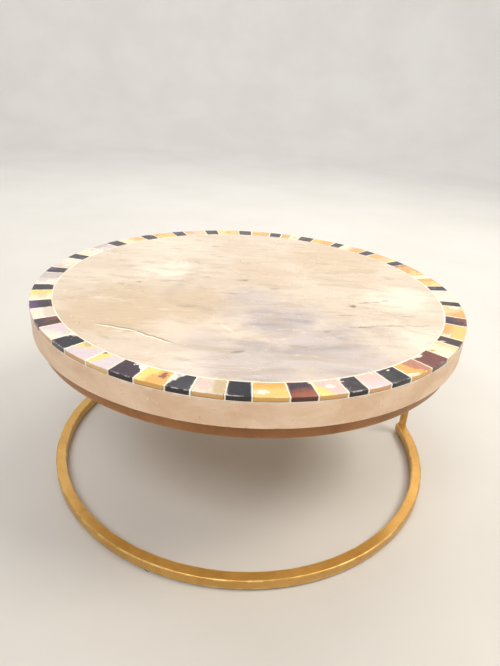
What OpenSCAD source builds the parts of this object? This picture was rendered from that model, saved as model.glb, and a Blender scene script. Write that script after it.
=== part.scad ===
// Lazy susan turntable: a marble top with a tiled rim that turns on an open base of square bar.
// Millimetres, +Z up. The origin is on the table, under the turning axis.

/* [Serving top] */
// Diameter of the marble top
top_d = 305; // [280:1:340]
// Thickness of the marble slab
slab_t = 19; // [16:0.5:22]
// Height from the table to the serving surface
total_h = 142; // [120:1:170]
// Depth of the rim border, from the edge inwards
border_w = 14.5; // [11:0.5:20]
// Thickness of a rim tile
tile_t = 3; // [2.5:0.1:4]
// Width of a grout line
grout_w = 0.8; // [0.5:0.1:1.2]

/* [Base] */
// Side of the square bar of the ring and the hoop
bar = 7.5; // [6:0.5:8]
// Side of the square bar of the uprights
post = 5; // [5:0.5:6]
// How far the ring's outer face stands in from the marble's edge
ring_inset = 4; // [3:0.5:12]
// Turning gap between the ring and the marble
turn_gap = 1.5; // [1.5:0.1:3]
// Direction of the right upright, counter-clockwise from +X
post_right_az = 10.3; // [0:0.1:30]
// Direction of the rear upright, counter-clockwise from +X
post_rear_az = 128; // [100:1:170]
// Number of clear pads under the hoop
pad_count = 5; // [3:1:8]
// Width of the flat straps across the ring
strap_w = 20; // [16:1:26]
// Thickness of the flat straps
strap_t = 2; // [1.5:0.5:3]

/* [Bearing] */
// Diameter of a bearing ball
ball_d = 4; // [3.6:0.1:4.2]
// Number of balls
ball_count = 24; // [12:1:28]
// Radius of the ball track
race_r = 43; // [42:0.5:44]

/* [Hidden] */
$fn = 96;
eps = 0.01;

// Levels, from the table up
pad_t = 1.5;
hoop_z = pad_t;
slab_z = total_h - slab_t;
ring_z = slab_z - turn_gap - bar;
bearing_h = 7;
lower_z = slab_z - bearing_h;
strap_z = lower_z - strap_t;
ball_z = lower_z + bearing_h / 2;

// Radii of the top and the base
top_r = top_d / 2;
border_r = top_r - border_w;
ring_out = top_r - ring_inset;
ring_in = ring_out - bar;
bar_round = 1;
post_round = 1;
post_r = ring_out - post / 2 - 0.1;

// Rim border: bed under the tiles, grout a little below the tile faces
bed_t = 0.5;
grout_drop = 0.1;
arris = 0.5;
tile_edge = 0.35;
tile_in = border_r + grout_w;
grout_az = grout_w / (top_r - border_w / 2) * 180 / PI;

// Tiles round the rim, counter-clockwise from -X: [finish, width in degrees]
tile_run = [
  ["pearl", 9.5], ["black", 4.5], ["cream", 7], ["black", 5.5], ["pearl", 6], ["brown", 5],
  ["pearl", 7], ["black", 5.5], ["pearl", 7], ["cream", 6], ["black", 6], ["amber", 6.5],
  ["black", 5], ["pearl", 6.5], ["black", 5], ["amber", 7], ["brown", 5.5], ["pearl", 6],
  ["black", 4.5], ["pearl", 5.5], ["black", 5.5], ["amber", 7], ["brown", 7], ["cream", 7],
  ["brown", 4], ["amber", 9], ["brown", 5.5], ["amber", 8], ["black", 3.5], ["cream", 8.5],
  ["black", 4], ["amber", 7], ["cream", 4.5], ["amber", 8.5], ["black", 4], ["amber", 9],
  ["black", 4], ["amber", 8.5], ["black", 4], ["amber", 8], ["black", 5.5], ["cream", 7],
  ["black", 4.5], ["amber", 7], ["black", 5], ["amber", 8], ["black", 5], ["cream", 8],
  ["black", 4.5], ["amber", 7.5], ["black", 5], ["cream", 9], ["black", 5], ["pearl", 6.5],
  ["cream", 7.5], ["black", 4.5], ["cream", 9], ["black", 4.5]
];
first_az = -180;
function width_to(i) = i == 0 ? 0 : width_to(i - 1) + tile_run[i - 1][1];
run_total = width_to(len(tile_run));
function start_az(i) = first_az + width_to(i) * 360 / run_total;

// Bearing: pressed plates with a raised ball track, held together by a rolled rim
plate_t = 1.5;
track_w = 12;
track_h = 1.1;
groove_gap = 0.1;
sleeve_in = 13.2;
sleeve_out = 14.4;
rim_out = 18;
rim_t = 1.1;
rim_gap = 0.7;
flange_in = 14.9;
flange_out = 20;
flange_t = 1.3;
flange_gap = 0.3;
flange_clear = 0.5;
lower_side = 96;
lower_corner_r = 64;
upper_side = 112;
upper_corner_r = 75;
cage_w = 8;
cage_t = 0.8;

// M3 screws, washers and nuts through the straps, M4 screws into the marble's anchors
strap_screw_r = 58;
m3_r = 1.5;
m3_hole_r = 1.7;
m3_len = 6;
m3_head_r = 3;
m3_head_h = 2;
m3_washer_r = 3.4;
m3_washer_t = 0.5;
m3_nut_r = 5.5 / sqrt(3);
m3_nut_t = 1.8;
thread_gap = 0.05;
top_screw_r = 68;
m4_r = 2;
m4_hole_r = 2.25;
m4_len = 12;
m4_head_r = 4;
m4_head_h = 2.4;
anchor_r = 3.5;
anchor_len = 11;
anchor_hole = 12.5;

// Clear pads, spread evenly along the hoop, in from its ends
pad_r = 3.2;
pad_edge = 0.4;
pad_end_az = 4;

// Half the angle that an upright covers, so that the hoop ends flush with the uprights' far faces
post_half_az = asin(post / 2 / post_r);
hoop_from = post_rear_az - post_half_az;
hoop_to = 360 + post_right_az + post_half_az;

// Square with rounded corners, from the origin
module rounded_square(side, r) {
  translate([r, 0]) square([side - 2 * r, side]);
  translate([0, r]) square([side, side - 2 * r]);
  for (x = [r, side - r], y = [r, side - r]) translate([x, y]) circle(r = r);
}

// Bar bent round the axis from one direction to another, with its lower face at z
module bent_bar(z, from, to) {
  rotate([0, 0, from])
    rotate_extrude(angle = to - from)
      translate([ring_in, z]) rounded_square(bar, bar_round);
}

// Plain ring
module ring(r_in, r_out, z, h) {
  rotate_extrude() translate([r_in, z]) square([r_out - r_in, h]);
}

// Square plate about the axis with its corners cropped to a circle
module cropped_plate(side, corner_r, turn, z, h) {
  intersection() {
    translate([0, 0, z]) rotate([0, 0, turn])
      translate([-side / 2, -side / 2, 0]) cube([side, side, h]);
    translate([0, 0, z]) cylinder(r = corner_r, h = h);
  }
}

// Copies of the children at a radius, round the axis
module around(r, count, turn) {
  for (i = [0 : count - 1]) rotate([0, 0, turn + i * 360 / count]) translate([r, 0, 0]) children();
}

// Sector of the rim with the section given as points (radius, height)
module rim_sector(i, section) {
  from = start_az(i) + grout_az / 2;
  to = start_az(i + 1) - grout_az / 2;
  rotate([0, 0, from]) rotate_extrude(angle = to - from) polygon(section);
}

// Tiles of one finish, each with eased top edges
module tiles(finish) {
  low = total_h - tile_t;
  section = [
    [tile_in, low], [top_r, low], [top_r, total_h - tile_edge], [top_r - tile_edge, total_h],
    [tile_in + tile_edge, total_h], [tile_in, total_h - tile_edge]
  ];
  for (i = [0 : len(tile_run) - 1]) if (tile_run[i][0] == finish) rim_sector(i, section);
}

// Pan-head screw pointing up, with the underside of its head at the origin and a cross recess
module pan_screw(r, len, head_r, head_h) {
  edge = head_h * 0.4;
  difference() {
    rotate_extrude() polygon([
      [0, -head_h], [head_r - edge, -head_h], [head_r, edge - head_h], [head_r, 0],
      [r, 0], [r, len - 0.4], [r - 0.4, len], [0, len]
    ]);
    for (turn = [0, 90]) rotate([0, 0, turn])
      translate([-head_r * 0.6, -head_r * 0.12, -head_h - eps])
        cube([head_r * 1.2, head_r * 0.24, head_h * 0.55]);
  }
}

// Flat strap from y = from to the ring's inner face, drilled for its bearing screws
module strap_from(from, to, screw_count) {
  difference() {
    intersection() {
      translate([from, -strap_w / 2, strap_z]) cube([to - from, strap_w, strap_t]);
      translate([0, 0, strap_z]) cylinder(r = ring_in, h = strap_t);
    }
    for (i = [0 : screw_count - 1])
      translate([strap_screw_r * (1 - 2 * i), 0, strap_z - eps])
        cylinder(r = m3_hole_r, h = strap_t + 2 * eps);
  }
}

module marble_top() {
  color("antiquewhite") difference() {
    rotate_extrude() polygon([
      [0, slab_z], [top_r - arris, slab_z], [top_r, slab_z + arris],
      [top_r, total_h - tile_t - bed_t], [border_r, total_h - tile_t - bed_t],
      [border_r, total_h], [0, total_h]
    ]);
    around(top_screw_r, 4, 45) translate([0, 0, slab_z - eps]) cylinder(r = anchor_r, h = anchor_hole);
  }
}

module resin_grout() {
  low = total_h - tile_t;
  pocket = [[tile_in, low], [top_r + 1, low], [top_r + 1, total_h + 1], [tile_in, total_h + 1]];
  color("white") difference() {
    ring(border_r, top_r - grout_drop, low - bed_t, tile_t + bed_t - grout_drop);
    for (i = [0 : len(tile_run) - 1]) rim_sector(i, pocket);
  }
}

module tiles_black_horn() { color("midnightblue") tiles("black"); }
module tiles_brown_horn() { color("saddlebrown") tiles("brown"); }
module tiles_amber_horn() { color("orange") tiles("amber"); }
module tiles_cream_shell() { color("cornsilk") tiles("cream"); }
module tiles_pearl_shell() { color("thistle") tiles("pearl"); }

module bearing_upper_plate() {
  under = slab_z - plate_t;
  flange_top = slab_z - rim_gap - rim_t - flange_gap;
  color("silver") difference() {
    union() {
      cropped_plate(upper_side, upper_corner_r, 0, under, plate_t);
      ring(race_r - track_w / 2, race_r + track_w / 2, under - track_h, track_h + plate_t / 2);
      translate([0, 0, flange_top - flange_t])
        cylinder(r = flange_out, h = under + plate_t / 2 - flange_top + flange_t);
    }
    translate([0, 0, lower_z]) cylinder(r = flange_in, h = bearing_h + 1);
    translate([0, 0, flange_top]) cylinder(r = rim_out + flange_clear, h = bearing_h);
    rotate_extrude() translate([race_r, ball_z]) circle(r = ball_d / 2 + groove_gap);
    around(top_screw_r, 4, 45) translate([0, 0, under - 1]) cylinder(r = m4_hole_r, h = plate_t + 2);
  }
}

module marble_anchors() {
  color("goldenrod") around(top_screw_r, 4, 45) translate([0, 0, slab_z]) difference() {
    cylinder(r = anchor_r, h = anchor_len);
    translate([0, 0, -eps]) cylinder(r = m4_r + thread_gap, h = anchor_len + 2 * eps);
  }
}

module top_screws() {
  color("gainsboro") around(top_screw_r, 4, 45)
    translate([0, 0, slab_z - plate_t]) pan_screw(m4_r, m4_len, m4_head_r, m4_head_h);
}

module ball_cage() {
  color("peru") difference() {
    ring(race_r - cage_w / 2, race_r + cage_w / 2, ball_z - cage_t / 2, cage_t);
    around(race_r, ball_count, 0)
      translate([0, 0, ball_z - cage_t]) cylinder(r = ball_d / 2 + groove_gap, h = 2 * cage_t);
  }
}

module bearing_balls() {
  color("lightgray") around(race_r, ball_count, 0) translate([0, 0, ball_z]) sphere(d = ball_d);
}

module bearing_lower_plate() {
  rim_top = slab_z - rim_gap;
  rim_low = rim_top - rim_t;
  color("darkgray") difference() {
    union() {
      cropped_plate(lower_side, lower_corner_r, 45, lower_z, plate_t);
      ring(race_r - track_w / 2, race_r + track_w / 2, lower_z + plate_t / 2, track_h + plate_t / 2);
      rotate_extrude() polygon([
        [sleeve_in, lower_z], [sleeve_out, lower_z], [sleeve_out, rim_low], [rim_out, rim_low],
        [rim_out, rim_top], [sleeve_in, rim_top]
      ]);
    }
    translate([0, 0, lower_z - 1]) cylinder(r = sleeve_in, h = bearing_h + 2);
    rotate_extrude() translate([race_r, ball_z]) circle(r = ball_d / 2 + groove_gap);
    around(strap_screw_r, 4, 0) translate([0, 0, lower_z - 1]) cylinder(r = m3_hole_r, h = plate_t + 2);
  }
}

module long_strap() { color("darkgoldenrod") strap_from(-ring_out, ring_out, 2); }
module front_half_strap() { color("goldenrod") rotate([0, 0, -90]) strap_from(strap_w / 2, ring_out, 1); }
module rear_half_strap() { color("goldenrod") rotate([0, 0, 90]) strap_from(strap_w / 2, ring_out, 1); }

module strap_screws() {
  color("gainsboro") around(strap_screw_r, 4, 0)
    translate([0, 0, strap_z]) pan_screw(m3_r, m3_len, m3_head_r, m3_head_h);
}

module strap_washers() {
  color("silver") around(strap_screw_r, 4, 0) translate([0, 0, lower_z + plate_t]) difference() {
    cylinder(r = m3_washer_r, h = m3_washer_t);
    translate([0, 0, -eps]) cylinder(r = m3_hole_r, h = m3_washer_t + 2 * eps);
  }
}

module strap_nuts() {
  color("darkgray") around(strap_screw_r, 4, 0)
    translate([0, 0, lower_z + plate_t + m3_washer_t]) difference() {
      cylinder(r = m3_nut_r, h = m3_nut_t, $fn = 6);
      translate([0, 0, -eps]) cylinder(r = m3_r + thread_gap, h = m3_nut_t + 2 * eps);
    }
}

module upper_ring() {
  color("gold") rotate_extrude() translate([ring_in, ring_z]) rounded_square(bar, bar_round);
}

// Upright that stands on the hoop and carries the ring
module upright(az) {
  foot = hoop_z + bar;
  rotate([0, 0, az]) translate([post_r - post / 2, -post / 2, foot])
    linear_extrude(height = ring_z - foot) rounded_square(post, post_round);
}

module right_upright() { color("gold") upright(post_right_az); }
module rear_upright() { color("gold") upright(post_rear_az); }
module lower_hoop() { color("gold") bent_bar(hoop_z, hoop_from, hoop_to); }

module hoop_pads() {
  from = hoop_from + pad_end_az;
  step = (hoop_to - hoop_from - 2 * pad_end_az) / (pad_count - 1);
  color("lightcyan") for (i = [0 : pad_count - 1])
    rotate([0, 0, from + i * step]) translate([ring_in + bar / 2, 0, 0]) rotate_extrude() polygon([
      [0, 0], [pad_r - pad_edge, 0], [pad_r, pad_edge], [pad_r, pad_t], [0, pad_t]
    ]);
}

marble_top();
resin_grout();
tiles_black_horn();
tiles_brown_horn();
tiles_amber_horn();
tiles_cream_shell();
tiles_pearl_shell();
bearing_upper_plate();
marble_anchors();
top_screws();
ball_cage();
bearing_balls();
bearing_lower_plate();
long_strap();
front_half_strap();
rear_half_strap();
strap_screws();
strap_washers();
strap_nuts();
upper_ring();
right_upright();
rear_upright();
lower_hoop();
hoop_pads();
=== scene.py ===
import math

import bmesh
import bpy
import numpy as np
from mathutils import Matrix, Vector


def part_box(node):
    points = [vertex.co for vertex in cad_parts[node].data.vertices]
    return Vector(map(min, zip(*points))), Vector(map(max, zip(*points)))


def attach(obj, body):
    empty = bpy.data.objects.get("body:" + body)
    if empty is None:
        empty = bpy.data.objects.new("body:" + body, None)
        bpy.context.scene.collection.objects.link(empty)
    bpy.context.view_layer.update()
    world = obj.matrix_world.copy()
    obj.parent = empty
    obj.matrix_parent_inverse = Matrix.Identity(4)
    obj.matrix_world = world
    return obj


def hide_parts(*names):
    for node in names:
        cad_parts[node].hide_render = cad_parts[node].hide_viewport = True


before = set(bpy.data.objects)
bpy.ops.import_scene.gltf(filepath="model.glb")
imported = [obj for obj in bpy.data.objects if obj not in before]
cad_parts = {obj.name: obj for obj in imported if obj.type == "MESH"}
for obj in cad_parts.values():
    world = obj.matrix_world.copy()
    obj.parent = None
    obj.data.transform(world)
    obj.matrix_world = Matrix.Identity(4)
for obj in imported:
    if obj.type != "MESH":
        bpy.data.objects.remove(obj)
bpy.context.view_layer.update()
mm = 0.001
print("frame loaded:", len(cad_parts), "nodes")


# ---- measuring the frame ----

def nodePoints(name):
    # every vertex of a CAD node, as rows of x, y, z
    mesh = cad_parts[name].data
    points = np.zeros(len(mesh.vertices) * 3, np.float32)
    mesh.vertices.foreach_get("co", points)
    return points.reshape(-1, 3).astype(float)


def ringOf(name):
    # least and greatest distance from the axis, and lowest and highest level, of a round node
    points = nodePoints(name)
    radius = np.hypot(points[:, 0], points[:, 1])
    return radius.min(), radius.max(), points[:, 2].min(), points[:, 2].max()


def spansOf(name):
    # directions that a node's separate solids cover: each triangle covers an interval, and
    # intervals that meet are one solid
    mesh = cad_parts[name].data
    mesh.calc_loop_triangles()
    corners = np.zeros(len(mesh.loop_triangles) * 3, np.int32)
    mesh.loop_triangles.foreach_get("vertices", corners)
    points = nodePoints(name)
    azimuth = np.arctan2(points[:, 1], points[:, 0])[corners.reshape(-1, 3)]
    low, high = azimuth.min(1), azimuth.max(1)
    order = np.argsort(low)
    low, high = low[order], high[order]
    reach = np.maximum.accumulate(high)
    first = np.flatnonzero(np.r_[True, low[1:] > reach[:-1] + 1e-4])
    last = np.r_[first[1:] - 1, len(low) - 1]
    return [(float(low[a]), float(reach[b])) for a, b in zip(first, last)]


# ---- surfaces from arrays ----

def sharpen(mesh, degrees):
    # smooth shading, with edges steeper than this kept sharp
    mesh.polygons.foreach_set("use_smooth", np.ones(len(mesh.polygons), bool))
    mesh.set_sharp_from_angle(angle=math.radians(degrees))


def rowFact(values, rings):
    # a value for each point of one solid's rings, in the shape that surface takes
    return np.broadcast_to(values, rings.shape[:2])[None, ..., None]


def storeFact(mesh, name, values, shape, capped):
    # values kept at each point of the grid, and their mean over an end ring at the point that closes it
    values = np.asarray(values, np.float32)
    grid = np.broadcast_to(values, shape + values.shape[3:])
    flat = grid.reshape(math.prod(shape), -1)
    if capped:
        flat = np.concatenate([flat, grid[:, 0].mean(1), grid[:, -1].mean(1)])
    kinds = {1: ("FLOAT", "value"), 3: ("FLOAT_VECTOR", "vector"), 4: ("FLOAT_COLOR", "color")}
    kind, field = kinds[flat.shape[1]]
    mesh.attributes.new(name, kind, "POINT").data.foreach_set(field, flat.ravel())


def surface(name, rings, loop=False, facts=None, sharp=50):
    # closed surface through rings of points, shaped (solids, rings, points round, 3): neighbouring
    # rings are joined by quads, and the end rings close on their mean point unless loop joins them
    rings = np.asarray(rings, float)
    if rings.ndim == 3:
        rings = rings[None]
    solids, count, around, _ = rings.shape
    index = np.arange(solids * count * around).reshape(solids, count, around)
    turned = np.roll(index, -1, axis=2)
    if loop:
        nextRing, nextTurned = np.roll(index, -1, axis=1), np.roll(turned, -1, axis=1)
        here, hereTurned = index, turned
    else:
        here, hereTurned = index[:, :-1], turned[:, :-1]
        nextRing, nextTurned = index[:, 1:], turned[:, 1:]
    faces = np.stack([here, hereTurned, nextTurned, nextRing], -1).reshape(-1, 4).tolist()
    points = rings.reshape(-1, 3)
    if not loop:
        poles = np.concatenate([rings[:, 0].mean(1), rings[:, -1].mean(1)])
        base = (len(points) + np.arange(2 * solids)).reshape(2, solids, 1)
        first, last = (np.broadcast_to(pole, (solids, around)) for pole in base)
        points = np.concatenate([points, poles])
        start = np.stack([turned[:, 0], index[:, 0], first], -1)
        end = np.stack([index[:, -1], turned[:, -1], last], -1)
        faces += start.reshape(-1, 3).tolist() + end.reshape(-1, 3).tolist()
    mesh = bpy.data.meshes.new(name)
    mesh.from_pydata(points.tolist(), [], faces)
    for key, values in (facts or {}).items():
        storeFact(mesh, key, values, (solids, count, around), not loop)
    turnedOut = bmesh.new()
    turnedOut.from_mesh(mesh)
    bmesh.ops.recalc_face_normals(turnedOut, faces=turnedOut.faces)
    turnedOut.to_mesh(mesh)
    turnedOut.free()
    sharpen(mesh, sharp)
    made = bpy.data.objects.new(name, mesh)
    bpy.context.scene.collection.objects.link(made)
    return made


def circleOf(count):
    # directions evenly round a full turn
    return np.arange(count) * 2 * np.pi / count


def aroundAxis(radius, direction, height):
    # points at (r cos a, r sin a, z)
    return np.stack(np.broadcast_arrays(radius * np.cos(direction), radius * np.sin(direction), height), -1)


def lathe(profile, directions):
    # profile of radius and height turned about the axis
    profile = np.asarray(profile, float)
    return aroundAxis(profile[:, :1], directions, profile[:, 1:2])


def roundedOutline(half, corner, sidePoints=4, cornerPoints=5):
    # outline of a rounded rectangle: a quarter circle at each corner, then evenly along to the next
    turn = np.linspace(0, np.pi / 2, cornerPoints)
    share = (np.linspace(-1, 1, sidePoints + 2)[1:-1, None] + 1) / 2
    centres = np.array([(1, 1), (-1, 1), (-1, -1), (1, -1)]) * (np.array(half) - corner)
    parts = []
    for quarter, centre in enumerate(centres):
        arc = turn + quarter * np.pi / 2
        ways = np.stack([np.cos(arc), np.sin(arc)], -1) * corner
        parts += [centre + ways, centre + ways[-1] + share * (centres[(quarter + 1) % 4] - centre)]
    return np.concatenate(parts)


def ripple(values, seed, count=6, low=2, high=9):
    # smooth unevenness from -1 to 1: a sum of sines with random speeds and starts
    random = np.random.default_rng(seed)
    speeds = random.integers(low, high, count)
    starts = random.uniform(0, 2 * np.pi, count)
    return sum(np.sin(values * speed + start) for speed, start in zip(speeds, starts)) / count ** 0.5 / 1.6


# ---- shader helpers ----

def paint(red, green, blue, alpha=1.0):
    # display colour out of 255 as the linear colour that shaders use
    values = np.array([red, green, blue]) / 255
    linear = np.where(values <= 0.04045, values / 12.92, ((values + 0.055) / 1.055) ** 2.4)
    return (*linear.tolist(), alpha)


def addNode(tree, kind, values=None, **settings):
    # one shader node: its settings, then its inputs as numbers or as links
    made = tree.nodes.new(kind)
    for key, value in settings.items():
        setattr(made, key, value)
    for key, value in (values or {}).items():
        if isinstance(value, bpy.types.NodeSocket):
            tree.links.new(value, made.inputs[key])
        else:
            made.inputs[key].default_value = value
    return made


def reckon(tree, operation, first, second=0.0, clamp=False):
    # arithmetic on one or two values
    return addNode(tree, "ShaderNodeMath", {0: first, 1: second}, operation=operation,
                   use_clamp=clamp).outputs[0]


def times(tree, first, second, clamp=False):
    # product of two values
    return reckon(tree, "MULTIPLY", first, second, clamp)


def plus(tree, first, second):
    # sum of two values
    return reckon(tree, "ADD", first, second)


def minus(tree, first, second):
    # first value less the second
    return reckon(tree, "SUBTRACT", first, second)


def hypotenuse(tree, first, second):
    # square root of the sum of two squares
    return reckon(tree, "SQRT", plus(tree, times(tree, first, first), times(tree, second, second)))


def blendColour(tree, share, first, second, blend="MIX"):
    # first colour turning into the second by a share from 0 to 1
    return addNode(tree, "ShaderNodeMix", {0: share, 6: first, 7: second}, data_type="RGBA",
                   blend_type=blend).outputs[2]


def tint(tree, colour, mask, share, tone):
    # colour turning into a tone by a share of a mask
    return blendColour(tree, times(tree, mask, share), colour, tone)


def shaded(tree, colour, factor):
    # colour multiplied by a factor for each of red, green and blue
    return blendColour(tree, 1.0, colour, factor, "MULTIPLY")


def between(tree, value, low, high, toLow=0.0, toHigh=1.0):
    # value eased from toLow at low to toHigh at high
    return addNode(tree, "ShaderNodeMapRange",
                   {"Value": value, "From Min": low, "From Max": high, "To Min": toLow, "To Max": toHigh},
                   interpolation_type="SMOOTHSTEP").outputs["Result"]


def place(tree, vector, scale=(1, 1, 1), turn=(0, 0, 0), move=(0, 0, 0)):
    # coordinates moved, turned and scaled
    return addNode(tree, "ShaderNodeMapping",
                   {"Vector": vector, "Scale": scale, "Rotation": turn, "Location": move}).outputs[0]


def noise(tree, vector, scale, detail=3.0, rough=0.5, bend=0.0):
    # smooth noise from 0 to 1
    return addNode(tree, "ShaderNodeTexNoise",
                   {"Vector": vector, "Scale": scale, "Detail": detail, "Roughness": rough,
                    "Distortion": bend}).outputs["Fac"]


def stored(tree, name, output):
    # a value kept with the piece's vertices
    return addNode(tree, "ShaderNodeAttribute", attribute_name=name).outputs[output]


def vectorMath(tree, operation, first, second):
    # arithmetic on two vectors
    return addNode(tree, "ShaderNodeVectorMath", {0: first, 1: second}, operation=operation).outputs


def spun(tree, vector, angle):
    # vector turned about Z
    return addNode(tree, "ShaderNodeVectorRotate", {"Vector": vector, "Angle": angle},
                   rotation_type="Z_AXIS").outputs[0]


def apart(tree, vector):
    # X, Y and Z of a vector
    return addNode(tree, "ShaderNodeSeparateXYZ", {0: vector}).outputs


def placeAbout(tree, vector, centre, angle):
    # X and Y of a vector less a centre, turned about Z
    return apart(tree, spun(tree, vectorMath(tree, "SUBTRACT", vector, centre)[0], angle))


def newGroup(name, inputs, outputs):
    # empty shader node group with named sockets, and its two end nodes
    tree = bpy.data.node_groups.new(name, "ShaderNodeTree")
    for label, kind, value in inputs:
        socket = tree.interface.new_socket(label, in_out="INPUT", socket_type=kind)
        if value is not None:
            socket.default_value = value
    for label, kind in outputs:
        tree.interface.new_socket(label, in_out="OUTPUT", socket_type=kind)
    return tree, tree.nodes.new("NodeGroupInput").outputs, tree.nodes.new("NodeGroupOutput").inputs


def useGroup(tree, group, values):
    # outputs of one shader node group placed with its own values
    return addNode(tree, "ShaderNodeGroup", values, node_tree=group).outputs


floatSocket, vectorSocket = "NodeSocketFloat", "NodeSocketVector"


def makeMottle():
    # mask of soft patches: noise eased from 0 at Low to 1 at High
    tree, given, out = newGroup("mottle",
        [("Vector", vectorSocket, None), ("Scale", floatSocket, 20.0), ("Low", floatSocket, 0.45),
         ("High", floatSocket, 0.65), ("Bend", floatSocket, 0.0)], [("Mask", floatSocket)])
    field = noise(tree, given["Vector"], given["Scale"], 5.0, 0.55, given["Bend"])
    tree.links.new(between(tree, field, given["Low"], given["High"]), out["Mask"])
    return tree


def makeEdgeWearAndHighlight():
    # mask of rubbed edges, also laid as painted highlights along edges: the stored edge value, broken up by
    # noise and scaled by Amount
    tree, given, out = newGroup("edgeWearAndHighlight",
        [("Vector", vectorSocket, None), ("Edge", floatSocket, 0.0), ("Scale", floatSocket, 120.0),
         ("Amount", floatSocket, 0.5)], [("Mask", floatSocket)])
    broken = between(tree, noise(tree, given["Vector"], given["Scale"], 4.0, 0.6), 0.42, 0.66)
    rubbedAndHighlit = times(tree, times(tree, given["Edge"], broken), given["Amount"], clamp=True)
    tree.links.new(rubbedAndHighlit, out["Mask"])
    return tree


def makeHandling():
    # faint smears and hairline scratches: Smear adds to roughness, Height feeds a bump
    tree, given, out = newGroup("handling",
        [("Vector", vectorSocket, None), ("Scale", floatSocket, 30.0), ("Amount", floatSocket, 0.1)],
        [("Smear", floatSocket), ("Height", floatSocket)])
    smear = between(tree, noise(tree, given["Vector"], given["Scale"], 4.0, 0.6, 0.6), 0.4, 0.75)
    stretched = place(tree, given["Vector"], (1.0, 0.08, 1.0), (0, 0, 0.5))
    scratch = between(tree, noise(tree, stretched, times(tree, given["Scale"], 9.0), 2.0, 0.7), 0.66, 0.72)
    both = plus(tree, smear, times(tree, scratch, 0.6))
    tree.links.new(times(tree, both, given["Amount"]), out["Smear"])
    tree.links.new(times(tree, scratch, -1.0), out["Height"])
    return tree


def makeDust():
    # mask of fine settled specks, gathered in patches
    tree, given, out = newGroup("dust",
        [("Vector", vectorSocket, None), ("Scale", floatSocket, 900.0), ("Amount", floatSocket, 0.2)],
        [("Mask", floatSocket)])
    specks = between(tree, noise(tree, given["Vector"], given["Scale"], 2.0, 0.7), 0.62, 0.74)
    wide = times(tree, given["Scale"], 0.03)
    patches = between(tree, noise(tree, given["Vector"], wide, 3.0), 0.35, 0.7)
    tree.links.new(times(tree, times(tree, specks, patches), given["Amount"], clamp=True), out["Mask"])
    return tree


mottle, edgeWearAndHighlight, handling, dust = makeMottle(), makeEdgeWearAndHighlight(), makeHandling(), makeDust()


def mottled(tree, vector, scale, low=0.45, high=0.65, bend=0.0):
    # mask of soft patches
    return useGroup(tree, mottle,
                    {"Vector": vector, "Scale": scale, "Low": low, "High": high, "Bend": bend})["Mask"]


def wornAndHighlitEdge(tree, coords, scale, amount):
    # mask of rubbed edges, also laid as painted highlights, from the piece's own edge value
    return useGroup(tree, edgeWearAndHighlight, {"Vector": coords, "Edge": stored(tree, "edge", "Fac"), "Scale": scale,
                                     "Amount": amount})["Mask"]


def settled(tree, coords, scale, amount):
    # mask of settled specks
    return useGroup(tree, dust, {"Vector": coords, "Scale": scale, "Amount": amount})["Mask"]


def handled(tree, coords, scale, amount):
    # smears for roughness and scratches for a bump
    return useGroup(tree, handling, {"Vector": coords, "Scale": scale, "Amount": amount})


def newMaterial(name, fixed):
    # material with one Principled shader: fixed holds the numbers that are the same all over
    made = bpy.data.materials.new(name)
    made.use_nodes = True
    tree = made.node_tree
    shader = tree.nodes["Principled BSDF"]
    for key, value in fixed.items():
        shader.inputs[key].default_value = value
    coords = addNode(tree, "ShaderNodeTexCoord").outputs["Object"]
    return made, tree, shader, coords


def feed(tree, shader, colour=None, roughness=None, height=None, bump=0.1, depth=0.0002):
    # colour, roughness and height wired to the shader, the height through a bump
    if colour is not None:
        tree.links.new(colour, shader.inputs["Base Color"])
    if roughness is not None:
        tree.links.new(roughness, shader.inputs["Roughness"])
    if height is not None:
        relief = addNode(tree, "ShaderNodeBump", {"Height": height, "Strength": bump, "Distance": depth})
        tree.links.new(relief.outputs["Normal"], shader.inputs["Normal"])


def dress(piece, material):
    # one material over a whole piece
    piece.data.materials.clear()
    piece.data.materials.append(material)


def finishPiece(piece, material, body, slot, *nodes):
    # material and body of a piece, and the CAD nodes that it stands for; slot is not used
    dress(piece, material)
    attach(piece, body)
    if nodes:
        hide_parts(*nodes)


# ---- the camera ----

_, topOuter, _, topHigh = ringOf("marble_top")
cameraLook = {
    "across": 0.0142,    # place from the middle of the top, as shares of its radius
    "back": -2.4089,
    "up": 0.9010,
    "pitch": 0.4488,     # down from level, in radians
    "roll": 0.0649,
    "lens": 28.452,      # in millimetres
    "sensor": 36.0,
}


def addCamera(look):
    # right, up and backward directions of a camera pitched down and then rolled, as a matrix's columns
    pitch, roll = look["pitch"], look["roll"]
    forward = Vector((0, math.cos(pitch), -math.sin(pitch)))
    level, rise = Vector((1, 0, 0)), Vector((0, math.sin(pitch), math.cos(pitch)))
    right = math.cos(roll) * level + math.sin(roll) * rise
    up = math.cos(roll) * rise - math.sin(roll) * level
    made = bpy.data.objects.new("camera", bpy.data.cameras.new("camera"))
    made.data.lens, made.data.sensor_width = look["lens"], look["sensor"]
    spot = Vector((look["across"], look["back"], look["up"])) * topOuter + Vector((0, 0, topHigh))
    made.matrix_world = Matrix.Translation(spot) @ Matrix((right, up, -forward)).transposed().to_4x4()
    bpy.context.scene.collection.objects.link(made)
    bpy.context.scene.camera = made


addCamera(cameraLook)
print("camera placed")


# ---- marble top ----

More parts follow.
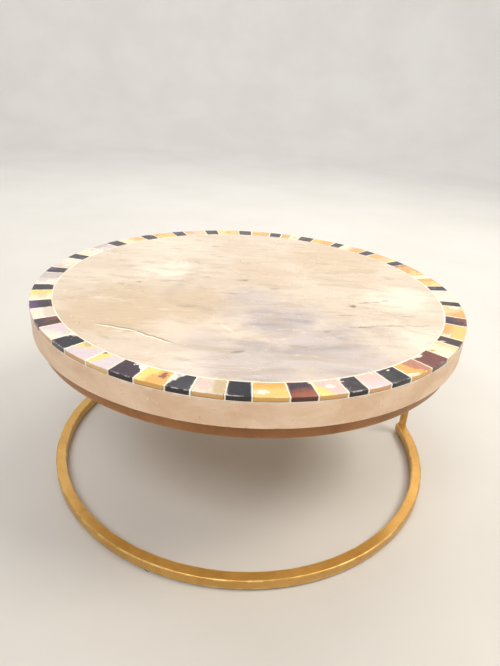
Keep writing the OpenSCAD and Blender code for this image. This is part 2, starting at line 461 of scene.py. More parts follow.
marbleLook = {
    "around": 720,
    "lowerEdge": 0.6 * mm,      # rounding of the lower arris
    "innerEdge": 0.12 * mm,     # easing where the polished face meets the border
    "honing": 0.05 * mm,        # unevenness of the side, inwards
    "chip": 0.4 * mm,
    "chipsFrom": 0.86,          # level of the ripple above which the lower arris is chipped
    "inset": 0.02 * mm,
    "seed": 11,
    "fleckLength": 1.3,         # the flecks' table is scaled by these
    "fleckWidth": 1.25,
    "fleckShake": 2.6,
    "tones": {
        "ground": paint(208, 192, 174), "groundLight": paint(221, 206, 189), "pale": paint(235, 222, 206),
        "tan": paint(200, 178, 148), "cool": paint(190, 180, 180), "coolDark": paint(158, 150, 153),
        "streak": paint(184, 166, 144), "wisp": paint(246, 238, 222), "grain": paint(150, 138, 120),
        # side tones paler than the face's ground: painted light for a brightly lit side, partly the honed
        # finish
        "fleck": paint(122, 112, 98), "side": paint(236, 208, 180), "sideDark": paint(222, 188, 156),
        "cloud": paint(236, 212, 186), "pit": paint(160, 122, 92), "speck": paint(250, 234, 212),
        "worn": paint(248, 228, 204),
    },
}

# Dark flecks in the polished face: place, half length and half width in mm, turn in degrees, strength
marbleFlecks = [
    (72, -29, 2.6, 1.7, 20, 0.9), (82, -21, 3.4, 1.3, 15, 0.6), (90, -19, 3.0, 1.1, 10, 0.6),
    (97, -15, 3.0, 1.2, 30, 0.5), (64, -46, 5.5, 1.2, 5, 0.5), (73, -64, 7.0, 0.9, 6, 0.55),
    (50, -73, 4.0, 1.5, 35, 0.55), (32, -49, 3.0, 1.2, 0, 0.35), (-4, -107, 3.2, 1.4, 25, 0.7),
    (-40, -47, 6.0, 2.4, 8, 0.35), (-5, 9, 4.0, 1.8, 12, 0.6), (18, -5, 3.0, 1.4, 10, 0.5),
    (-58, -2, 8.0, 0.9, 14, 0.55), (-81, -8, 2.4, 1.4, 5, 0.5), (-93, -14, 2.6, 1.5, 0, 0.45),
    (-34, 11, 4.5, 1.6, 0, 0.35), (-34, 92, 5.0, 2.4, 5, 0.4), (-26, 63, 5.0, 1.6, 0, 0.35),
    (-12, -20, 3.0, 1.3, 0, 0.4), (106, -41, 6.0, 0.9, 0, 0.4), (-44, 44, 5.0, 0.9, -50, 0.45),
    (60, 62, 6.0, 2.0, 0, 0.3), (-80, -100, 5.0, 1.2, -20, 0.3), (30, -96, 7.0, 1.0, -6, 0.35),
]

# Soft patches in the polished face: middle and reach in mm, and strength. The tan patch at 70, 78 is partly
# the stone's warm tone, partly a painted reflection
marblePatches = {
    "pale": [(-66, 26, 40, 0.9), (108, -8, 34, 0.9), (112, -76, 30, 0.8), (-24, -124, 22, 0.8),
             (-74, 84, 46, 0.5)],
    "tan": [(-40, -40, 44, 0.9), (-86, -58, 56, 1.0), (70, 78, 66, 0.7), (6, 34, 44, 0.5),
            (-8, 92, 30, 0.3)],
    "cool": [(20, -62, 48, 0.9), (52, -96, 56, 0.9), (2, -28, 28, 0.6), (4, -116, 48, 0.8),
             (-20, -96, 26, 0.5)],
}

# Lines in the polished face, in the order they are laid: start, end and half width in mm. The shadow lines
# are painted shade, and the crack lines are light lines of healed cracks, partly a painted highlight on their
# lit edges
marbleVeins = {
    "healed": {"share": 0.28, "tone": paint(176, 158, 138),
               "lines": [((-46, 56), (-44, 10), 9.0), ((-42, 12), (-58, -34), 8.0),
                         ((-60, -36), (-22, -56), 7.0)]},
    "shadow": {"share": 0.75, "tone": paint(132, 112, 90),
               "lines": [((-92, -82.6), (-64, -88.6), 1.1), ((-66, -88.6), (-42, -101.6), 1.1),
                         ((66, -65), (120, -52), 0.9)]},
    "crackAndHighlight": {"share": 0.85, "tone": paint(255, 248, 232),
              "lines": [((-92, -84), (-64, -90), 0.8), ((-66, -90), (-42, -103), 0.8),
                        ((-16, -72), (-7, -82), 0.6)]},
}


def makeMarbleTop(look):
    # a lathe whose side and lower edge move inwards with the direction: r - inset - honing * ripple - chips.
    # Rows of points close to each edge keep it crisp
    _, outer, low, high = ringOf("marble_top")
    inner, _, bed, _ = ringOf("resin_grout")
    edge, ease = look["lowerEdge"], look["innerEdge"]
    curve = np.linspace(-np.pi / 2, 0, 7)
    arc = np.stack([outer - edge + edge * np.cos(curve), low + edge + edge * np.sin(curve)], -1)
    floorRow = [(r, low) for r in (0.01, 0.05, 0.1, 0.14, outer - edge - 0.3 * mm)]
    side = [(outer, z) for z in np.linspace(low + edge + 0.3 * mm, bed - 0.2 * mm, 12)]
    step = [(outer, bed), (outer - 0.5 * mm, bed), (inner + 0.4 * mm, bed), (inner, bed),
            (inner, bed + 0.3 * mm)]
    lip = [(inner, high - ease - 0.2 * mm), (inner, high - ease), (inner - ease * 0.3, high - ease * 0.3),
           (inner - ease, high), (inner - ease - 0.3 * mm, high)]
    face = [(r, high) for r in (0.13, 0.11, 0.08, 0.05, 0.02)]
    profile = np.array(floorRow + arc.tolist() + side + step + lip + face)
    directions = circleOf(look["around"])
    rings = lathe(profile, directions)
    radius, height = profile[:, :1], profile[:, 1:2]
    sideShare = np.clip((radius - outer + 2 * mm) / (2 * mm), 0, 1)
    uneven = (0.5 + 0.5 * ripple(directions + height * 260, look["seed"], 8, 5, 60)) * look["honing"]
    lowShare = np.exp(-((height - low - edge * 0.6) / (edge * 0.8)) ** 2)
    breaks = np.clip(ripple(directions, look["seed"] + 1, 14, 40, 190) - look["chipsFrom"], 0, 1)
    inward = (look["inset"] + uneven + breaks * look["chip"] * lowShare) * sideShare
    rings[..., 0] -= inward * np.cos(directions)
    rings[..., 1] -= inward * np.sin(directions)
    upShare = np.exp(-((height - bed) / (0.5 * mm)) ** 2)
    return surface("marbleTop", rings, facts={"honed": rowFact((height < high - ease) * 1.0, rings),
                                              "edge": rowFact((lowShare + upShare) * sideShare, rings)})


def makeFleck():
    # mask of one fleck: an ellipse about Centre, turned, its outline shaken by noise
    tree, given, out = newGroup("fleck",
        [("Vector", vectorSocket, None), ("Shake", floatSocket, 0.0), ("Centre", vectorSocket, None),
         ("Turn", floatSocket, 0.0), ("Length", floatSocket, 0.004), ("Width", floatSocket, 0.001),
         ("Strength", floatSocket, 0.5)], [("Mask", floatSocket)])
    parts = placeAbout(tree, given["Vector"], given["Centre"], given["Turn"])
    along = reckon(tree, "DIVIDE", parts["X"], given["Length"])
    across = reckon(tree, "DIVIDE", parts["Y"], given["Width"])
    away = plus(tree, hypotenuse(tree, along, across), given["Shake"])
    tree.links.new(times(tree, between(tree, away, 1.3, 0.2), given["Strength"]), out["Mask"])
    return tree


def gatherMasks(tree, masks):
    # greatest of several masks
    total = masks[0]
    for mask in masks[1:]:
        total = reckon(tree, "MAXIMUM", total, mask)
    return total


def patchMask(tree, coords, shake, patches):
    # soft round patches whose outlines are shaken by noise
    masks = []
    for x, y, reach, strength in patches:
        away = vectorMath(tree, "DISTANCE", coords, (x * mm, y * mm, topHigh))["Value"]
        away = plus(tree, away, times(tree, shake, reach * mm * 1.5))
        masks.append(times(tree, between(tree, away, reach * mm, reach * mm * 0.3), strength))
    return gatherMasks(tree, masks)


def vein(tree, coords, shake, start, end, width):
    # thin line from start to end: the distance across it, shaken by noise, eased to 0 at its width
    # and at its ends
    (x0, y0), (x1, y1) = start, end
    centre = ((x0 + x1) / 2 * mm, (y0 + y1) / 2 * mm, 0.0)
    half = math.hypot(x1 - x0, y1 - y0) / 2 * mm
    parts = placeAbout(tree, coords, centre, -math.atan2(y1 - y0, x1 - x0))
    across = reckon(tree, "ABSOLUTE", plus(tree, parts["Y"], times(tree, shake, half * 0.5)))
    ends = between(tree, reckon(tree, "ABSOLUTE", parts["X"]), half * 1.1, half * 0.7)
    return times(tree, between(tree, across, width * mm, width * mm * 0.2), ends)


def fleckMask(tree, group, coords, shake, fleck, look):
    # one fleck from its row of the table
    x, y, length, width, turn, strength = fleck
    return useGroup(tree, group,
        {"Vector": coords, "Shake": shake, "Centre": (x * mm, y * mm, topHigh), "Turn": math.radians(-turn),
         "Length": length * look["fleckLength"] * mm, "Width": width * look["fleckWidth"] * mm,
         "Strength": strength})["Mask"]


def marbleFace(tree, coords, look):
    # ground, patches, streaks, grains, flecks and lines of the polished face, with the flecks' and the
    # shadows' masks
    tones = look["tones"]
    shake = minus(tree, noise(tree, coords, 30.0, 5.0, 0.6), 0.5)
    fineShake = minus(tree, noise(tree, coords, 240.0, 4.0, 0.65), 0.5)
    along = place(tree, coords, (0.45, 1.7, 1.0), (0, 0, -0.1))
    colour = blendColour(tree, mottled(tree, along, 11.0, 0.34, 0.66, 0.8), tones["ground"],
                         tones["groundLight"])
    cool = blendColour(tree, mottled(tree, along, 38.0, 0.4, 0.64, 1.0), tones["cool"], tones["coolDark"])
    layers = [("pale", 1.0, tones["pale"]), ("tan", 0.85, tones["tan"]), ("cool", 0.95, cool)]
    for kind, share, tone in layers:
        colour = tint(tree, colour, patchMask(tree, coords, shake, marblePatches[kind]), share, tone)
    colour = tint(tree, colour, mottled(tree, along, 62.0, 0.47, 0.70, 1.4), 0.55, tones["streak"])
    colour = tint(tree, colour, mottled(tree, along, 120.0, 0.56, 0.74, 2.0), 0.38, tones["wisp"])
    grains = between(tree, noise(tree, place(tree, coords, (0.6, 1.4, 1.0)), 420.0, 3.0, 0.6), 0.62, 0.74)
    gather = between(tree, noise(tree, coords, 24.0, 2.0), 0.46, 0.64)
    colour = tint(tree, colour, times(tree, grains, gather), 0.5, tones["grain"])
    group, ragged = makeFleck(), times(tree, fineShake, look["fleckShake"])
    flecks = [fleckMask(tree, group, coords, ragged, fleck, look) for fleck in marbleFlecks]
    flecks = gatherMasks(tree, flecks)
    colour = blendColour(tree, flecks, colour, tones["fleck"])
    masks = {}
    for kind, veins in marbleVeins.items():
        masks[kind] = gatherMasks(tree, [vein(tree, coords, shake, *line) for line in veins["lines"]])
        colour = tint(tree, colour, masks[kind], veins["share"], veins["tone"])
    return colour, flecks, masks["shadow"]


def marbleSide(tree, coords, look):
    # clouds, pits, bright specks and worn edges of the honed side, with the pits' mask. Its tones are paler
    # than the face's: painted light for a side lit nearly as brightly as the top, partly the honed finish
    tones = look["tones"]
    upright = place(tree, coords, (1, 1, 2.2))
    colour = blendColour(tree, mottled(tree, upright, 30.0, 0.38, 0.66, 0.6), tones["side"],
                         tones["sideDark"])
    colour = tint(tree, colour, mottled(tree, coords, 90.0, 0.48, 0.72, 1.0), 0.35, tones["cloud"])
    pits = between(tree, noise(tree, coords, 620.0, 2.0, 0.6), 0.66, 0.73)
    colour = tint(tree, colour, pits, 0.4, tones["pit"])
    tilted = place(tree, coords, (1, 1, 1), (0.4, 0, 0))
    specks = between(tree, noise(tree, tilted, 560.0, 2.0, 0.6), 0.68, 0.74)
    colour = tint(tree, colour, specks, 0.5, tones["speck"])
    return blendColour(tree, wornAndHighlitEdge(tree, coords, 160.0, 0.9), colour, tones["worn"]), pits


def makeMarble(look):
    # the polished face where honed is 0 and the side where it is 1; the side is rougher, grained and pitted
    made, tree, shader, coords = newMaterial("marble",
        {"Subsurface Weight": 0.10, "Subsurface Scale": 0.002, "Subsurface Radius": (1.0, 0.8, 0.6),
         "IOR": 1.5})
    face, flecks, shadows = marbleFace(tree, coords, look)
    side, pits = marbleSide(tree, coords, look)
    honed = stored(tree, "honed", "Fac")
    marks = handled(tree, coords, 26.0, 0.08)
    polish = plus(tree, times(tree, flecks, 0.2), plus(tree, marks["Smear"], 0.26))
    relief = times(tree, noise(tree, coords, 1400.0, 2.0), honed)
    relief = minus(tree, relief, times(tree, pits, times(tree, honed, 0.8)))
    relief = plus(tree, relief, times(tree, marks["Height"], 0.2))
    relief = minus(tree, relief, times(tree, shadows, 0.5))
    feed(tree, shader, blendColour(tree, honed, face, side), plus(tree, polish, times(tree, honed, 0.28)),
         relief, 0.25, 0.00012)
    return made


finishPiece(makeMarbleTop(marbleLook), makeMarble(marbleLook), "turntable", "marble", "marble_top")
print("marble top done")


# ---- rim tiles ----

hornTones = {
    "ink": (17, 18, 34), "moss": (38, 38, 34), "plum": (46, 26, 48), "violet": (86, 62, 118),
    "umber": (66, 36, 30), "maroon": (112, 60, 56), "rust": (146, 78, 52), "clay": (182, 122, 96),
    "amber": (220, 170, 84), "orange": (230, 166, 92), "honey": (234, 196, 114), "straw": (240, 214, 120),
    "peach": (238, 200, 150), "rose": (216, 190, 180), "cream": (244, 230, 200), "chalk": (236, 227, 212),
    "pearl": (216, 204, 188), "lilac": (214, 202, 208), "smoke": (196, 188, 184), "olive": (196, 176, 138),
}

# Round the rim from -X, counter-clockwise: the ground, a second tone on one side of a line across the tile
# (the way it faces in degrees, 90 outwards; its place; its softness), then a mark (middle across and
# outwards, size, narrowness, turn). Places run from -0.5 to 0.5 of the tile
tileLooks = [
    ("smoke", "chalk", 0, 0.1, 0.2, "lilac", 0.2, 0.2, 0.2, 1.5, 30),
    ("ink", "plum", 90, 0.3, 0.2, "smoke", -0.5, -0.5, 0.2, 1.0, 0),
    ("cream", "straw", 180, 0.0, 0.25, "peach", -0.05, -0.1, 0.3, 1.6, 0),
    ("plum", "violet", 90, 0.2, 0.3, "ink", 0.2, -0.3, 0.3, 1.4, 10),
    ("chalk", "pearl", 270, 0.02, 0.03, "cream", 0.0, 0.3, 0.2, 1.8, 20),
    ("maroon", "plum", 90, 0.0, 0.5, "umber", 0.2, -0.3, 0.3, 1.5, 60),
    ("lilac", "chalk", 45, 0.1, 0.3, "pearl", 0.3, -0.3, 0.2, 2.0, 40),
    ("ink", "ink", 0, 0.0, 0.2, "chalk", -0.6, -0.66, 0.42, 1.3, 45),
    ("lilac", "straw", 225, 0.22, 0.22, "olive", -0.3, -0.4, 0.2, 1.6, 20),
    ("straw", "lilac", 20, -0.18, 0.12, "rust", -0.42, -0.42, 0.09, 1.0, 0),
    ("plum", "chalk", 315, 0.40, 0.02, "lilac", 0.12, -0.46, 0.16, 1.4, 10),
    ("amber", "straw", 200, 0.08, 0.12, "rust", 0.26, -0.16, 0.22, 1.7, 75),
    ("ink", "chalk", 206, 0.27, 0.05, "smoke", -0.3, -0.42, 0.14, 1.6, 40),
    ("pearl", "olive", 0, 0.1, 0.12, "rose", -0.22, -0.05, 0.3, 1.5, 70),
    ("ink", "ink", 0, 0.0, 0.2, "smoke", -0.52, 0.44, 0.1, 1.2, 50),
    ("honey", "amber", 270, 0.1, 0.2, "chalk", -0.28, 0.18, 0.26, 1.6, 170),
    ("plum", "rust", 80, 0.06, 0.26, "cream", 0.52, -0.56, 0.22, 1.2, 45),
    ("rose", "straw", 150, 0.22, 0.14, "chalk", 0.05, -0.06, 0.2, 1.8, 30),
    ("plum", "ink", 0, 0.0, 0.4, "chalk", -0.56, -0.5, 0.26, 1.4, 60),
    ("rose", "lilac", 90, 0.1, 0.3, "chalk", 0.28, -0.42, 0.13, 2.6, 70),
    ("ink", "ink", 0, 0.0, 0.2, "chalk", 0.1, -0.36, 0.12, 2.2, 4),
    ("amber", "clay", 340, 0.0, 0.08, "cream", -0.36, 0.36, 0.24, 2.4, 20),
    ("maroon", "maroon", 0, 0.0, 0.3, "chalk", -0.3, -0.5, 0.3, 2.2, 12),
    ("cream", "peach", 0, 0.2, 0.3, "orange", -0.42, -0.3, 0.2, 2.4, 35),
    ("umber", "moss", 90, 0.1, 0.3, "smoke", -0.4, -0.3, 0.16, 2.0, 60),
    ("honey", "orange", 270, 0.12, 0.2, "chalk", -0.5, -0.3, 0.26, 1.4, 60),
    ("plum", "maroon", 60, 0.0, 0.3, "umber", -0.2, 0.2, 0.2, 1.6, 50),
    ("peach", "orange", 150, 0.1, 0.2, "cream", 0.36, 0.1, 0.26, 1.8, 80),
    ("moss", "ink", 90, 0.1, 0.3, "umber", 0.0, -0.2, 0.2, 1.5, 10),
    ("chalk", "cream", 0, 0.1, 0.2, "lilac", 0.42, 0.2, 0.2, 2.0, 80),
    ("plum", "ink", 0, 0.0, 0.3, "violet", 0.1, -0.2, 0.2, 1.5, 60),
    ("honey", "amber", 0, 0.05, 0.15, "straw", -0.3, 0.2, 0.26, 1.8, 85),
    ("cream", "amber", 0, 0.22, 0.1, "rust", 0.5, 0.0, 0.12, 3.0, 90),
    ("orange", "rust", 0, 0.38, 0.06, "honey", -0.3, 0.1, 0.26, 1.8, 50),
    ("ink", "moss", 0, 0.0, 0.3, "plum", 0.0, 0.0, 0.24, 1.5, 20),
    ("peach", "amber", 0, 0.0, 0.3, "straw", -0.4, 0.2, 0.24, 1.8, 70),
    ("ink", "plum", 0, 0.0, 0.3, "moss", 0.1, 0.1, 0.24, 1.4, 70),
    ("orange", "cream", 0, 0.1, 0.2, "amber", -0.3, 0.1, 0.24, 2.4, 60),
    ("moss", "ink", 0, 0.0, 0.3, "plum", 0.0, 0.0, 0.24, 1.4, 20),
    ("amber", "honey", 0, 0.1, 0.2, "orange", 0.3, -0.1, 0.2, 1.8, 50),
    ("ink", "moss", 0, 0.0, 0.3, "umber", 0.2, 0.0, 0.24, 1.6, 80),
    ("cream", "amber", 0, 0.02, 0.08, "peach", -0.3, 0.0, 0.2, 1.6, 85),
    ("ink", "plum", 0, 0.0, 0.3, "smoke", -0.46, 0.5, 0.2, 1.4, 40),
    ("amber", "orange", 0, 0.1, 0.2, "honey", 0.2, 0.3, 0.24, 1.8, 30),
    ("moss", "ink", 0, 0.0, 0.3, "umber", 0.0, 0.1, 0.24, 1.5, 10),
    ("honey", "straw", 0, 0.1, 0.2, "orange", 0.0, 0.0, 0.2, 2.0, 75),
    ("ink", "plum", 0, 0.0, 0.3, "moss", 0.1, 0.2, 0.24, 1.4, 30),
    ("peach", "rose", 0, 0.0, 0.3, "orange", 0.3, 0.2, 0.24, 1.8, 60),
    ("plum", "ink", 0, 0.0, 0.3, "violet", 0.2, 0.2, 0.2, 1.6, 40),
    ("honey", "amber", 0, 0.1, 0.2, "straw", 0.3, -0.2, 0.24, 1.6, 60),
    ("moss", "ink", 0, 0.0, 0.3, "olive", -0.4, 0.4, 0.2, 1.5, 30),
    ("peach", "cream", 0, 0.1, 0.2, "amber", -0.3, 0.0, 0.26, 2.0, 70),
    ("ink", "plum", 0, 0.0, 0.3, "moss", 0.0, 0.0, 0.24, 1.5, 50),
    ("lilac", "smoke", 90, 0.1, 0.3, "chalk", 0.2, -0.2, 0.2, 2.0, 40),
    ("chalk", "cream", 0, 0.1, 0.3, "smoke", -0.3, 0.2, 0.16, 2.2, 60),
    ("ink", "moss", 0, 0.0, 0.3, "violet", 0.2, -0.3, 0.2, 1.5, 30),
    ("chalk", "pearl", 0, 0.1, 0.3, "cream", 0.2, -0.2, 0.24, 1.8, 50),
    ("plum", "ink", 0, 0.0, 0.3, "violet", -0.2, 0.3, 0.24, 1.5, 20),
]

tileShape = {
    "corner": 0.5 * mm,
    "lowEase": 0.2 * mm,
    "topEase": 0.32 * mm,
    "gapShake": 0.10 * mm,      # how far a cut edge strays, inwards only
    "wedge": 0.02,              # lean of the cut sides
    "inset": 0.02 * mm,
    "sideLoop": 9,
    "seed": 5,
}

# line is each kind's broken light line along the tiles' top edge: a painted highlight with rubbing
tileKinds = {
    "tiles_black_horn": {"slot": "black_horn", "rough": 0.16, "coat": 0.12, "film": 0.0, "streak": 0.25,
                         "glow": 0.0, "rim": paint(38, 30, 36), "line": paint(206, 198, 196)},
    "tiles_brown_horn": {"slot": "brown_horn", "rough": 0.17, "coat": 0.15, "film": 0.0, "streak": 0.3,
                         "glow": 0.02, "rim": paint(80, 44, 34), "line": paint(206, 160, 140)},
    "tiles_amber_horn": {"slot": "amber_horn", "rough": 0.17, "coat": 0.5, "film": 0.0, "streak": 0.3,
                         "glow": 0.10, "rim": paint(226, 176, 92), "line": paint(252, 228, 168)},
    "tiles_cream_shell": {"slot": "cream_shell", "rough": 0.19, "coat": 0.4, "film": 220.0, "streak": 0.2,
                          "glow": 0.1, "rim": paint(236, 198, 132), "line": paint(252, 238, 206)},
    "tiles_pearl_shell": {"slot": "pearl_shell", "rough": 0.18, "coat": 0.4, "film": 340.0, "streak": 0.25,
                          "glow": 0.08, "rim": paint(224, 176, 108), "line": paint(248, 232, 206)},
}


def tilesInOrder():
    # every tile's span of directions with its node, from -X counter-clockwise
    found = [(low, high, node) for node in tileKinds for low, high in spansOf(node)]
    found.sort()
    if len(found) != len(tileLooks):
        raise ValueError(f"{len(found)} tiles and {len(tileLooks)} looks")
    return found


def makeTiles(node, tiles, shape):
    # each tile is its rounded outline shrunk by an inset at each level, bent round the rim:
    # direction = middle + across / mean radius, radius = middle radius + out
    inner, outer, low, high = ringOf(node)
    outer -= shape["inset"]
    chosen = [(i, a, b) for i, (a, b, owner) in enumerate(tiles) if owner == node]
    random = np.random.default_rng(shape["seed"])
    meanRadius, halfOut = (inner + outer) / 2, (outer - inner) / 2
    ease, foot, corner = shape["topEase"], shape["lowEase"], shape["corner"]
    levels = [(1.6 * mm, low), (foot + 0.3 * mm, low), (foot, low), (0.3 * foot, low + 0.3 * foot),
              (0.0, low + foot), (0.0, low + foot + 0.3 * mm), (0.0, high - ease - 0.25 * mm),
              (0.0, high - ease)]
    turn = np.linspace(0, np.pi / 2, 5)[1:]
    levels += [(ease * (1 - math.cos(t)), high - ease * (1 - math.sin(t))) for t in turn]
    levels += [(ease + 0.25 * mm, high), (ease + 1.2 * mm, high), (ease + 3.0 * mm, high)]
    unit = roundedOutline((1.0, 1.0), 0.0001, shape["sideLoop"], 5)
    rounding = roundedOutline((corner, corner), corner * 0.9999, shape["sideLoop"], 5)
    inset = np.array([step[0] for step in levels])[:, None, None]
    height = np.array([step[1] for step in levels])[:, None]
    nearEdge = np.exp(-(inset[..., 0] - ease * 0.3) ** 2 / (0.3 * mm) ** 2) * (height > high - 1.2 * ease)
    rings, facts = [], {}
    for i, start, end in chosen:
        halfAcross = (end - start) / 2 * meanRadius
        room = np.array([halfAcross, halfOut]) - corner - inset
        shake = 1 - random.uniform(0, 1) * shape["gapShake"] / halfAcross * np.array([1.0, 0.0])
        flat = unit * room * shake + rounding * 0.999
        across, out = flat[..., 0], flat[..., 1]
        across = across * (1 - shape["wedge"] * random.uniform(0, 1) * (1 + out / halfOut) / 2)
        direction = (start + end) / 2 + across / meanRadius
        radius = np.minimum(meanRadius + out, outer)
        rings.append(aroundAxis(radius, direction, height))
        ground, second, facing, at, soft, mark, x, y, size, narrow, turned = tileLooks[i]
        share = np.broadcast_to((height - low) / (high - low), across.shape)
        own = {"tilePlace": np.stack([across / halfAcross / 2, out / halfOut / 2, share], -1),
               "ground": paint(*hornTones[ground]), "second": paint(*hornTones[second]),
               "mark": paint(*hornTones[mark]), "split": (math.radians(facing), at, soft),
               "markPlace": (x, y, 0.0), "markForm": (size, narrow, math.radians(turned)),
               "seed": (i * 1.37 + 0.4,), "edge": nearEdge[..., None]}
        for key, value in own.items():
            width = np.shape(value)[-1]
            facts.setdefault(key, []).append(np.broadcast_to(value, across.shape + (width,)))
    return surface(tileKinds[node]["slot"] + "Tiles", np.array(rings), facts=facts)


def hornGround(tree, own, parts):
    # ground turning into the second tone across a line: across * cos + out * sin + waver, less the line's
    # place, over its softness
    waver = minus(tree, noise(tree, own, 2.6, 5.0, 0.6, 0.6), 0.5)
    split = apart(tree, stored(tree, "split", "Vector"))
    facing = plus(tree, times(tree, parts["X"], reckon(tree, "COSINE", split["X"])),
                  times(tree, parts["Y"], reckon(tree, "SINE", split["X"])))
    facing = plus(tree, facing, times(tree, waver, 0.5))
    beyond = reckon(tree, "DIVIDE", minus(tree, facing, split["Y"]), split["Z"])
    return blendColour(tree, between(tree, beyond, -1.0, 1.0), stored(tree, "ground", "Color"),
                       stored(tree, "second", "Color"))


def addMark(tree, colour, own, local, form):
    # the mark with its dark rim: 1 + ragged noise - distance from its middle / its size, eased
    about = placeAbout(tree, local, stored(tree, "markPlace", "Vector"), times(tree, form["Z"], -1.0))
    away = hypotenuse(tree, about["X"], times(tree, about["Y"], form["Y"]))
    ragged = times(tree, minus(tree, noise(tree, own, 5.0, 5.0, 0.62, 1.2), 0.5), 4.0)
    nearness = minus(tree, plus(tree, 1.0, ragged), reckon(tree, "DIVIDE", away, form["X"]))
    rim = times(tree, between(tree, nearness, -0.30, -0.02), between(tree, nearness, 0.16, 0.02))
    colour = tint(tree, colour, rim, 0.25, paint(120, 78, 48))
    return blendColour(tree, between(tree, nearness, -0.16, 0.26), colour, stored(tree, "mark", "Color"))


def makeHorn(name, look):
    # two tones parted by a wavering line, fibres along the tile, one mark, a faint veil, the outer layer's
    # tone on the side, and a broken light line along the top edge: painted highlight with rubbing
    made, tree, shader, coords = newMaterial(name,
        {"Coat Weight": look["coat"], "Coat Roughness": 0.06, "IOR": 1.52, "Subsurface Weight": look["glow"],
         "Subsurface Scale": 0.0015, "Thin Film Thickness": look["film"], "Thin Film IOR": 1.45})
    local, seed = stored(tree, "tilePlace", "Vector"), stored(tree, "seed", "Fac")
    shift = addNode(tree, "ShaderNodeCombineXYZ",
                    {"X": times(tree, seed, 3.1), "Y": times(tree, seed, 1.7), "Z": seed}).outputs[0]
    own = vectorMath(tree, "ADD", local, shift)[0]
    parts = apart(tree, local)
    form = apart(tree, stored(tree, "markForm", "Vector"))
    colour = hornGround(tree, own, parts)
    lengthwise = place(tree, spun(tree, own, plus(tree, form["Z"], 0.6)), (1.0, 7.0, 1.0))
    fibres = between(tree, noise(tree, lengthwise, 2.2, 5.0, 0.6, 0.6), 0.4, 0.72)
    colour = tint(tree, colour, fibres, look["streak"], shaded(tree, colour, (0.70, 0.58, 0.48, 1.0)))
    colour = addMark(tree, colour, own, local, form)
    colour = tint(tree, colour, mottled(tree, own, 7.0, 0.54, 0.76, 1.2), 0.04, paint(250, 240, 224))
    grain = noise(tree, own, 30.0, 3.0, 0.6)
    side = shaded(tree, look["rim"], blendColour(tree, grain, (0.7, 0.64, 0.6, 1), (1.15, 1.12, 1.1, 1)))
    side = blendColour(tree, between(tree, parts["Z"], 0.35, 0.0), side,
                       shaded(tree, side, (0.62, 0.45, 0.36, 1.0)))
    colour = blendColour(tree, between(tree, parts["Z"], 0.92, 0.72), colour, side)
    # broken light line on the top edge: painted highlight with rubbing
    rubbedAndHighlit = wornAndHighlitEdge(tree, coords, 300.0, 0.75)
    marks = handled(tree, coords, 70.0, 0.10)
    roughness = plus(tree, plus(tree, marks["Smear"], look["rough"]), times(tree, rubbedAndHighlit, 0.3))
    relief = plus(tree, times(tree, fibres, 0.4), marks["Height"])
    feed(tree, shader, blendColour(tree, rubbedAndHighlit, colour, look["line"]), roughness, relief, 0.15, 0.00005)
    return made


tiles = tilesInOrder()
for node, look in tileKinds.items():
    horn = makeHorn(look["slot"], look)
    finishPiece(makeTiles(node, tiles, tileShape), horn, "turntable", look["slot"], node)
print("tiles done:", len(tiles))


# ---- grout ----

groutLook = {"sag": 0.12 * mm, "gapColumns": 5, "tileColumns": 9, "seed": 21}


def makeGrout(look, tiles):
    # a closed section carried round the rim: full height in a grout line, and the bed's height under
    # a tile, with the lines' tops dipping by a sine across their width
    inner, outer, low, high = ringOf("resin_grout")
    tileIn, tileOut, bed, _ = ringOf("tiles_black_horn")
    outer = min(outer, tileOut - 0.1 * mm)
    sag, middle = look["sag"], (tileIn + outer) / 2
    columns, tops = [], []
    for i, (start, end, _) in enumerate(tiles):
        following = tiles[(i + 1) % len(tiles)][0] + (2 * math.pi if i + 1 == len(tiles) else 0)
        columns.append(np.linspace(start, end, look["tileColumns"]))
        columns.append(np.linspace(end, following, look["gapColumns"]))
        tops += [np.zeros(look["tileColumns"]), np.ones(look["gapColumns"])]
    directions, isLine = np.concatenate(columns), np.concatenate(tops)
    share = np.concatenate([np.linspace(0, 1, len(c)) for c in columns])
    dip, border = (sag * depth * (1 + ripple(directions, look["seed"] + step, 9, 20, 90))
                   for step, depth in enumerate((0.4, 0.3)))
    crest = np.where(isLine > 0, high - sag * np.sin(share * np.pi) * isLine - dip, bed)
    border, foot = high - border, low + 0 * directions
    step = np.where(isLine > 0, border, bed)
    section = [(inner, foot), (inner, border), (inner + 0.3 * mm, border), (tileIn - 0.02 * mm, border),
               (tileIn, step), (tileIn + 1.0 * mm, crest), (middle, crest), (outer - 0.5 * mm, crest),
               (outer - 0.1 * mm, crest - 0.06 * mm), (outer, crest - 0.2 * mm * isLine - 0.02 * mm),
               (outer, foot + 0.05 * mm), (outer - 0.1 * mm, foot)]
    rings = np.stack([aroundAxis(r, directions, z) for r, z in section])
    return surface("rimGrout", rings, loop=True, facts={"line": rowFact(isLine, rings)}, sharp=35)


def makeGroutFinish():
    # white filled resin, yellowed in patches, with fine pores and a little grime
    made, tree, shader, coords = newMaterial("grout",
        {"IOR": 1.48, "Subsurface Weight": 0.05, "Subsurface Scale": 0.001})
    patches = mottled(tree, coords, 60.0, 0.4, 0.7, 0.4)
    colour = blendColour(tree, patches, paint(248, 243, 232), paint(232, 216, 190))
    colour = blendColour(tree, settled(tree, coords, 1100.0, 0.5), colour, paint(150, 126, 98))
    pores = noise(tree, coords, 1600.0, 3.0, 0.6)
    feed(tree, shader, colour, between(tree, pores, 0.3, 0.7, 0.45, 0.65), pores, 0.3, 0.0001)
    return made


finishPiece(makeGrout(groutLook, tiles), makeGroutFinish(), "turntable", "grout", "resin_grout")
print("grout done")


# ---- gold bar ----

barLook = {
    "corner": 1.0 * mm,
    "around": 480,                  # steps round the axis
    "rows": 60,                     # steps up a post
    "opening": math.radians(20),    # a wider gap than this leaves the bar open
    "endEase": 0.35 * mm,
}


def edgeOf(outline, half, corner):
    # 1 on a section's rounded corners and 0 on its flats
    return (np.abs(outline) > np.array(half) - corner).all(1) * 1.0


